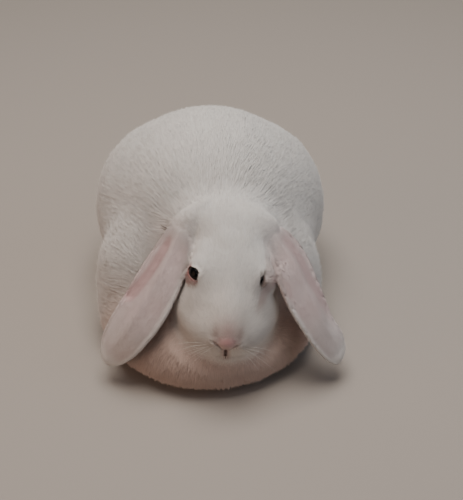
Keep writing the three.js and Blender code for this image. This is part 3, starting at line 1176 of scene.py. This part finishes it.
def makeHorns():
    tree = bpy.data.node_groups.new("taperedHorns", "GeometryNodeTree")
    sockets = {"Geometry": "Geometry", "Length": "Float", "Radius": "Float", "Bend": "Float", "Vary": "Float",
               "Steps": "Int", "Seed": "Int", "Material": "Material"}
    for name, kind in sockets.items():
        tree.interface.new_socket(name, in_out="INPUT", socket_type="NodeSocket" + kind)
    tree.interface.new_socket("Geometry", in_out="OUTPUT", socket_type="NodeSocketGeometry")
    start, end = tree.nodes.new("NodeGroupInput"), tree.nodes.new("NodeGroupOutput")

    def node(kind, **inputs):
        made = tree.nodes.new(kind)
        for key, value in inputs.items():
            socket = made.inputs[key.replace("_", " ")]
            if isinstance(value, bpy.types.NodeSocket):
                link(tree, value, socket)
            else:
                socket.default_value = value
        return made

    def figure(operation, first, second):
        made = node("ShaderNodeMath")
        made.operation = operation
        for socket, value in zip(made.inputs, (first, second)):
            if isinstance(value, bpy.types.NodeSocket):
                link(tree, value, socket)
            else:
                socket.default_value = value
        return made.outputs[0]

    def attribute(name, kind):
        made = node("GeometryNodeInputNamedAttribute", Name=name)
        made.data_type = kind
        return made.outputs["Attribute"]

    bent = node("ShaderNodeCombineXYZ", X=start.outputs["Bend"], Z=1.0)
    line = node("GeometryNodeCurveQuadraticBezier", Resolution=start.outputs["Steps"], Start=(0, 0, 0),
                Middle=(0, 0, 0.5), End=bent.outputs[0])
    run = node("GeometryNodeSplineParameter")
    left = figure("SUBTRACT", 1.04, run.outputs["Factor"])
    girth = figure("MULTIPLY", figure("POWER", left, 0.8), figure("DIVIDE", start.outputs["Radius"],
                                                          start.outputs["Length"]))
    ring = node("GeometryNodeCurvePrimitiveCircle", Resolution=6, Radius=1.0)
    horn = node("GeometryNodeCurveToMesh", Curve=line.outputs[0], Profile_Curve=ring.outputs[0], Scale=girth,
                Fill_Caps=True)
    upright = node("FunctionNodeAlignRotationToVector", Vector=attribute("way", "FLOAT_VECTOR"))
    upright.axis = "Z"
    turned = node("FunctionNodeAlignRotationToVector", Rotation=upright.outputs[0],
                  Vector=attribute("sag", "FLOAT_VECTOR"))
    turned.axis, turned.pivot_axis = "X", "Z"
    chance = node("FunctionNodeRandomValue", Seed=start.outputs["Seed"])
    chance.data_type = "FLOAT"
    spread = figure("ADD", 1.0, figure("MULTIPLY", figure("SUBTRACT", chance.outputs[1], 0.5), start.outputs["Vary"]))
    size = figure("MULTIPLY", figure("MULTIPLY", spread, start.outputs["Length"]), attribute("size", "FLOAT"))
    scaled = node("ShaderNodeCombineXYZ", X=size, Y=size, Z=size)
    horns = node("GeometryNodeInstanceOnPoints", Points=start.outputs["Geometry"], Instance=horn.outputs[0],
                 Rotation=turned.outputs[0], Scale=scaled.outputs[0])
    real = node("GeometryNodeRealizeInstances", Geometry=horns.outputs[0])
    rounded = node("GeometryNodeSetShadeSmooth", Geometry=real.outputs[0])
    looks = node("GeometryNodeSetMaterial", Geometry=rounded.outputs[0], Material=start.outputs["Material"])
    link(tree, looks.outputs[0], end.inputs[0])
    return tree


hornTree = makeHorns()


# roots, ways and sags in the body's own space, with the values in millimetres
def growHorns(name, roots, ways, sags, sizes, values, material):
    seeds = bpy.data.meshes.new(name + "Roots")
    seeds.vertices.add(len(roots))
    seeds.vertices.foreach_set("co", ((np.array(roots) + shift) * mm).astype(np.float32).ravel())
    for key, vectors in (("way", ways), ("sag", sags)):
        layer = seeds.attributes.new(key, "FLOAT_VECTOR", "POINT")
        layer.data.foreach_set("vector", np.array(vectors, np.float32).ravel())
    keep(seeds, "size", np.array(sizes, float))
    piece = bpy.data.objects.new(name, seeds)
    bpy.context.scene.collection.objects.link(piece)
    growth = piece.modifiers.new("horns", "NODES")
    growth.node_group = hornTree
    given = {"Length": values["length"] * mm, "Radius": values["radius"] * mm, "Bend": values["bend"],
             "Vary": values["vary"], "Steps": values["steps"], "Seed": values["seed"], "Material": material}
    for socket in hornTree.interface.items_tree:
        if socket.in_out == "INPUT" and socket.name in given:
            growth[socket.identifier] = given[socket.name]
    view = bpy.context.evaluated_depsgraph_get()
    grown = bpy.data.meshes.new_from_object(piece.evaluated_get(view), depsgraph=view)
    piece.modifiers.remove(growth)
    piece.data = grown
    grown.name = name
    bpy.data.meshes.remove(seeds)
    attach(piece, "root")
    print(name, len(roots), "and", len(grown.polygons), "faces")
    return piece


def hornMaterial(name, colour, values):
    material, tree, shader = nodeMaterial(name)
    group = tree.nodes.new("ShaderNodeGroup")
    group.node_tree = mottle
    group.inputs["Color"].default_value = (*colour, 1)
    group.inputs["Scale"].default_value = values["scale"]
    group.inputs["Amount"].default_value = values["amount"]
    link(tree, group.outputs["Color"], shader.inputs["Base Color"])
    shader.inputs["Roughness"].default_value = values["roughness"]
    shader.inputs["Specular IOR Level"].default_value = values["specular"]
    return material


whiskers = {"rows": 3, "columns": 4, "first": [9.5, 3.5], "across": 2.3, "down": 3.4, "length": 27, "radius": 0.1,
            "bend": 0.22, "vary": 0.35, "steps": 10, "seed": 5}
whiskerMaterial = hornMaterial("whiskerHair", (0.84, 0.81, 0.78),
                               {"scale": 700, "amount": 0.3, "roughness": 0.45, "specular": 0.4})
roots3, ways, sags, sizes = [], [], [], []
for side in sides.values():
    for row in range(whiskers["rows"]):
        for column in range(whiskers["columns"]):
            x = whiskers["first"][0] + whiskers["across"] * column
            z = whiskers["first"][1] - whiskers["down"] * row - 0.5 * column
            spot = onFace([[x, z]])[0] + np.array([-0.5, 1.0, 0])
            way = unit(np.array([side * (0.8 + 0.12 * column), -0.55 + 0.2 * column, 0.12 - 0.22 * row]))
            roots3.append(fromHead(spot * np.array([side, 1, 1]))[0])
            ways.append(way @ headTurn.T)
            sags.append([0, -0.3, -1])
            sizes.append(1.1 - 0.12 * row - 0.1 * abs(column - 1.5))
piece = growHorns("whiskers", roots3, ways, sags, sizes, whiskers, whiskerMaterial)

claws = {
    "hind": {"length": 7.5, "radius": 1.25, "bend": 0.2, "vary": 0.12, "steps": 8, "seed": 2},
    "fore": {"length": 6.2, "radius": 1.05, "bend": 0.2, "vary": 0.12, "steps": 8, "seed": 3},
}
clawMaterial = hornMaterial("clawHorn", (0.50, 0.40, 0.335),
                            {"scale": 900, "amount": 0.7, "roughness": 0.32, "specular": 0.5})
for kind, values in claws.items():
    roots3 = []
    x, y, z = feet[kind]["tip"]
    for side in sides.values():
        for place in feet[kind]["spread"]:
            aside = feet["foreAside"] if kind == "fore" else 0
            back = 0.048 * place * place
            roots3.append([x * side + aside + place, y + back - feet[kind]["toe"][1] * 0.72, z - 0.9])
    count = len(roots3)
    piece = growHorns("claws_" + kind, roots3, [[0, -0.96, -0.2]] * count, [[0, 0, -1]] * count, [1.0] * count,
                      values, clawMaterial)

# ---- eyes ----

eyeLooks = {"bulge": 0.7, "rows": 44, "columns": 56, "pupil": 0.56}


def makeEyeMaterial():
    material, tree, shader = nodeMaterial("wetEye")
    polar = tree.nodes.new("ShaderNodeAttribute")
    polar.attribute_name = "polar"
    around = tree.nodes.new("ShaderNodeAttribute")
    around.attribute_name = "fibre"
    noise = tree.nodes.new("ShaderNodeTexNoise")
    noise.inputs["Scale"].default_value = 9
    noise.inputs["Detail"].default_value = 4
    link(tree, around.outputs["Color"], noise.inputs["Vector"])
    ramp = tree.nodes.new("ShaderNodeValToRGB")
    pupil = eyeLooks["pupil"]
    stops = [(0.0, (0.002, 0.002, 0.002, 1)), (pupil - 0.04, (0.003, 0.002, 0.002, 1)),
             (pupil + 0.04, (0.035, 0.024, 0.018, 1)), (0.8, (0.085, 0.064, 0.05, 1)),
             (0.9, (0.04, 0.026, 0.02, 1)), (1.0, (0.05, 0.02, 0.016, 1))]
    for position, colour in stops[2:]:
        ramp.color_ramp.elements.new(position).color = colour
    ramp.color_ramp.elements[0].color = stops[0][1]
    ramp.color_ramp.elements[1].position = stops[1][0]
    ramp.color_ramp.elements[1].color = stops[1][1]
    link(tree, polar.outputs["Fac"], ramp.inputs["Fac"])
    streak = tree.nodes.new("ShaderNodeMix")
    streak.data_type = "RGBA"
    streak.blend_type = "MULTIPLY"
    streak.inputs["B"].default_value = (0.35, 0.3, 0.27, 1)
    link(tree, noise.outputs["Fac"], streak.inputs["Factor"])
    link(tree, ramp.outputs["Color"], streak.inputs["A"])
    link(tree, streak.outputs["Result"], shader.inputs["Base Color"])
    shader.inputs["Roughness"].default_value = 0.25
    shader.inputs["Specular IOR Level"].default_value = 0.1
    shader.inputs["Coat Weight"].default_value = 0.35
    shader.inputs["Coat Roughness"].default_value = 0.03
    shader.inputs["Coat IOR"].default_value = 1.38
    return material


eyeMaterial = makeEyeMaterial()
for name, side in sides.items():
    look, front, top = eyeAxes(side)
    rows, columns = eyeLooks["rows"], eyeLooks["columns"]
    polar = np.arange(1, rows) / rows * math.pi
    around = np.arange(columns) / columns * 2 * math.pi
    polar, around = (grid.ravel() for grid in np.meshgrid(polar, around, indexing="ij"))
    polar = np.concatenate([[0], polar, [math.pi]])
    around = np.concatenate([[0], around, [0]])
    radius = eyes["radius"] + eyeLooks["bulge"] * (1 - smooth(polar, 0.45, 0.95))
    ball = radius[:, None] * (
        np.cos(polar)[:, None] * look
        + np.sin(polar)[:, None] * (np.cos(around)[:, None] * front + np.sin(around)[:, None] * top)
    )
    ring = np.arange(columns)
    following = (ring + 1) % columns
    turned = np.dot(np.cross(front, top), look) > 0
    parts = [np.stack([np.zeros(columns, int), 1 + ring, 1 + following], 1)]
    for row in range(rows - 2):
        start = 1 + row * columns
        parts.append(np.stack([start + ring, start + columns + ring, start + following], 1))
        parts.append(np.stack([start + following, start + columns + ring, start + columns + following], 1))
    start = 1 + (rows - 2) * columns
    parts.append(np.stack([start + ring, np.full(columns, len(ball) - 1), start + following], 1))
    ballFaces = np.vstack(parts)
    if not turned:
        ballFaces = ballFaces[:, ::-1]
    mesh = meshOf("eyeball_" + name, fromHead(ball + eyeAt(side)), ballFaces)
    gaze = unit(look - 0.25 * front + 0.35 * top)
    keep(mesh, "polar", np.arccos((unit(ball) @ gaze).clip(-1, 1)))
    keep(mesh, "fibre", np.stack([np.cos(around), np.sin(around), polar * 0.25], 1))
    piece = pieceOf(mesh, eyeMaterial)
    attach(piece, "root")
    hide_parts("eye_" + name)
print("eyes done")

# ---- floor, light and camera ----

stage = {"floor": [0.47, 0.415, 0.37], "floorSize": 6, "world": [0.68, 0.69, 0.71], "worldStrength": 0.16}

floorMaterial, tree, shader = nodeMaterial("paleFloor")
shader.inputs["Base Color"].default_value = (*stage["floor"], 1)
shader.inputs["Roughness"].default_value = 0.7
mesh = bpy.data.meshes.new("floor")
reach = stage["floorSize"] / 2
mesh.from_pydata([(-reach, -reach, 0), (reach, -reach, 0), (reach, reach, 0), (-reach, reach, 0)], [], [(0, 1, 2, 3)])
floor = pieceOf(mesh, floorMaterial)

world = bpy.data.worlds.new("studio")
world.use_nodes = True
world.node_tree.nodes["Background"].inputs["Color"].default_value = (*stage["world"], 1)
world.node_tree.nodes["Background"].inputs["Strength"].default_value = stage["worldStrength"]
bpy.context.scene.world = world

lights = {
    "key": {"at": (-0.05, 0.15, 1.7), "size": 1.1, "power": 24.5, "color": (1.0, 0.95, 0.885)},
    "warm": {"at": (-1.4, -0.7, 0.6), "size": 1.2, "power": 4.0, "color": (1.0, 0.62, 0.42)},
    "cool": {"at": (1.4, -0.2, 0.9), "size": 1.4, "power": 3.2, "color": (0.68, 0.82, 1.0)},
}
aim = Vector((0.0, -0.02, 0.08))
for name, values in lights.items():
    lamp = bpy.data.lights.new(name, "AREA")
    lamp.energy, lamp.size, lamp.color = values["power"], values["size"], values["color"]
    holder = bpy.data.objects.new(name, lamp)
    holder.location = values["at"]
    holder.rotation_euler = (aim - holder.location).to_track_quat("-Z", "Y").to_euler()
    bpy.context.scene.collection.objects.link(holder)

view = {"at": [20, -633, 549], "pitch": 38, "focal": 880, "picture": [463, 500], "sensor": 36}
lens = bpy.data.cameras.new("camera")
lens.sensor_fit = "HORIZONTAL"
lens.sensor_width = view["sensor"]
lens.lens = view["sensor"] * view["focal"] / view["picture"][0]
camera = bpy.data.objects.new("camera", lens)
camera.location = (np.array(view["at"]) + shift) * mm
camera.rotation_euler = (math.radians(90 - view["pitch"]), 0, 0)
bpy.context.scene.collection.objects.link(camera)
bpy.context.scene.camera = camera
